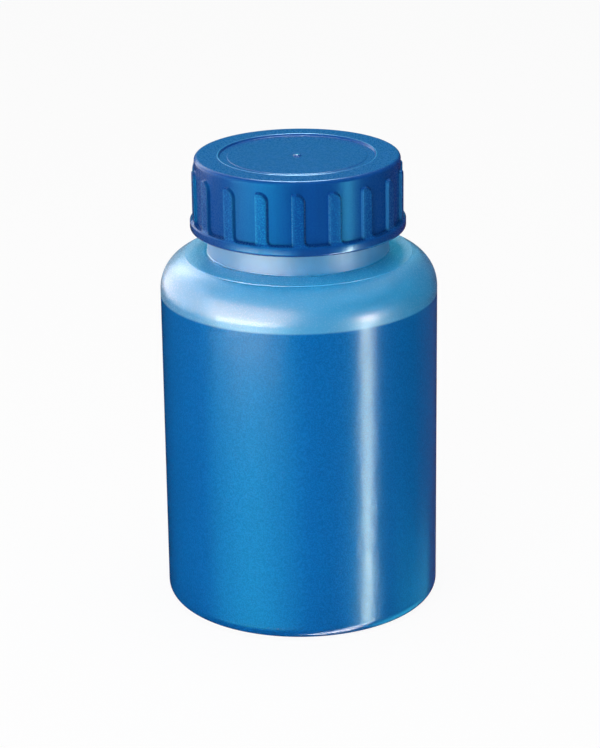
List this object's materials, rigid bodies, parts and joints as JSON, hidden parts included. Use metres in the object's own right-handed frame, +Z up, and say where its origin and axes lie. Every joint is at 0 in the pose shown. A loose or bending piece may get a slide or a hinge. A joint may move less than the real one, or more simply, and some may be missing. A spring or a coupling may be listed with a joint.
{
  "type": "centrifuge bottle",
  "caption": "Wide-neck plastic centrifuge bottle with a ribbed screw cap, a sealing ring and a blue liquid fill.",
  "frame": {"origin": "on the bottle's axis, in the plane of its foot ring", "axes": "+Z up along the bottle's axis through the cap; the cap's ribs are centred on the front, which faces -Y"},
  "size_m": [0.081, 0.081, 0.1354],
  "materials": {
    "natural_pp": "translucent natural polypropylene with a fine satin texture",
    "blue_pp": "dyed blue polypropylene, satin, grainy on the rib faces",
    "seal": "white silicone",
    "blue_liquid": "clear blue liquid"
  },
  "bodies": {
    "bottle": {"bottle": "natural_pp", "liquid_fill": "blue_liquid"},
    "ring": {"sealing_ring": "seal"},
    "cap": {"screw_cap": "blue_pp"}
  },
  "joints": [
    {"name": "cap_lift", "type": "slide", "parent": "bottle", "child": "ring", "axis": [0, 0, 1], "range_m": [0, 0.0075]},
    {"name": "cap_turn", "type": "hinge", "parent": "ring", "child": "cap", "pos_m": [0, 0, 0.1246], "axis": [0, 0, 1], "range_deg": [0, 540]}
  ],
  "couplings": [
    {"joint": "cap_lift", "follows": "cap_turn", "m_per_rad": 0.00079577}
  ]
}
